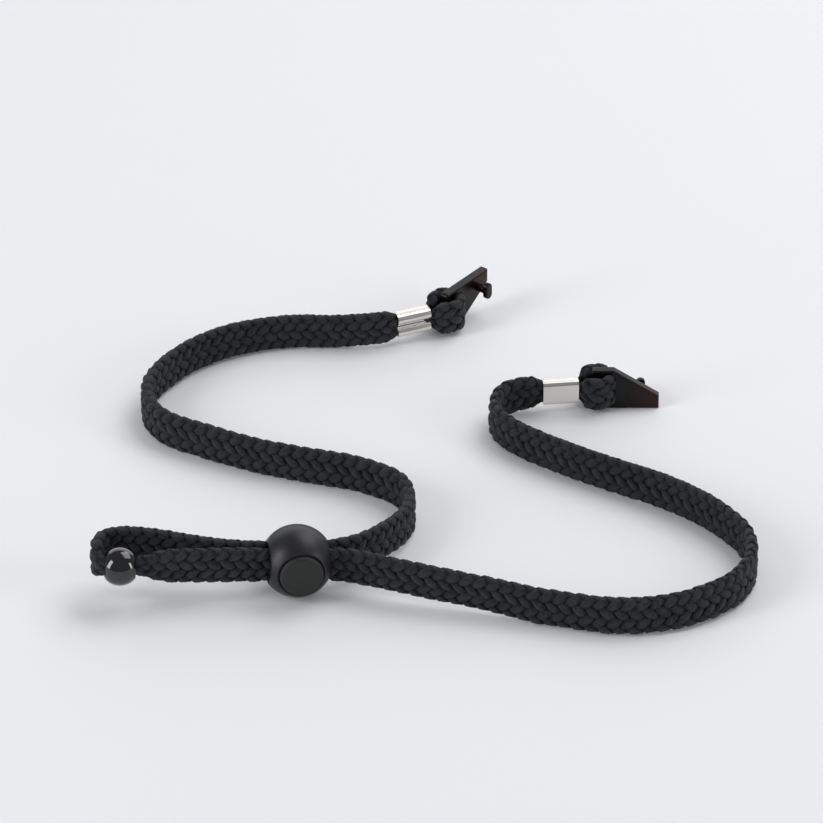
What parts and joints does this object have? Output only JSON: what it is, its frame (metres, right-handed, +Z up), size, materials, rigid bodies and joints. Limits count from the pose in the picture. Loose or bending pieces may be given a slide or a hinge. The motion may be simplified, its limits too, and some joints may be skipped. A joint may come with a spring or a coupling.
{
  "type": "eyeglass retainer strap",
  "caption": "Flat braided eyeglass retainer strap with a push-button cord lock, a stopper bead, clamped metal ends and moulded temple tabs that turn on their bars.",
  "frame": {"origin": "bottom centre of the bounding box of the hard pieces, on the surface that the strap lies on", "axes": "+Z up from the surface, +X to the right along the tail, -Y towards the front, where the cord lock lies"},
  "size_m": [0.1542, 0.146, 0.017],
  "materials": {
    "braid": "woven",
    "lock_plastic": "satin",
    "button_plastic": "matte",
    "bead_plastic": "gloss",
    "spring_steel": "bright",
    "nickel": "satin",
    "tab_plastic": "translucent gloss"
  },
  "bodies": {
    "strap": {"strap_left_branch": "braid", "strap_right_branch": "braid", "strap_bead_core": "braid", "strap_left_end": "braid", "strap_right_end": "braid", "left_ferrule": "nickel", "right_ferrule": "nickel"},
    "lock": {"toggle_body": "lock_plastic", "toggle_spring": "spring_steel"},
    "button": {"toggle_button": "button_plastic"},
    "bead": {"stopper_bead": "bead_plastic"},
    "left_tab": {"left_temple_tab": "tab_plastic"},
    "right_tab": {"right_temple_tab": "tab_plastic"}
  },
  "joints": [
    {"name": "lock_slide", "type": "slide", "parent": "strap", "child": "lock", "axis": [0.9917, 0.113, -0.061], "range_m": [-0.01, 0], "deforming": ["strap_left_branch"]},
    {"name": "button_press", "type": "slide", "parent": "lock", "child": "button", "axis": [-0.1908, 0.9816, 0], "range_m": [0, 0.0018], "stiffness_N_per_m": 1500, "springref_m": -0.003, "deforming": ["toggle_spring"]},
    {"name": "bead_turn", "type": "hinge", "parent": "strap", "child": "bead", "pos_m": [-0.0616, -0.06502, 0.011], "axis": [0.9917, 0.113, -0.061], "continuous": true},
    {"name": "left_tab_turn", "type": "hinge", "parent": "strap", "child": "left_tab", "pos_m": [0.0139, 0.056, 0], "axis": [0, 0, 1], "range_deg": [-97, 39]},
    {"name": "right_tab_turn", "type": "hinge", "parent": "strap", "child": "right_tab", "pos_m": [0.0498, 0.02085, 0], "axis": [0, 0, 1], "range_deg": [-60, 75]}
  ]
}
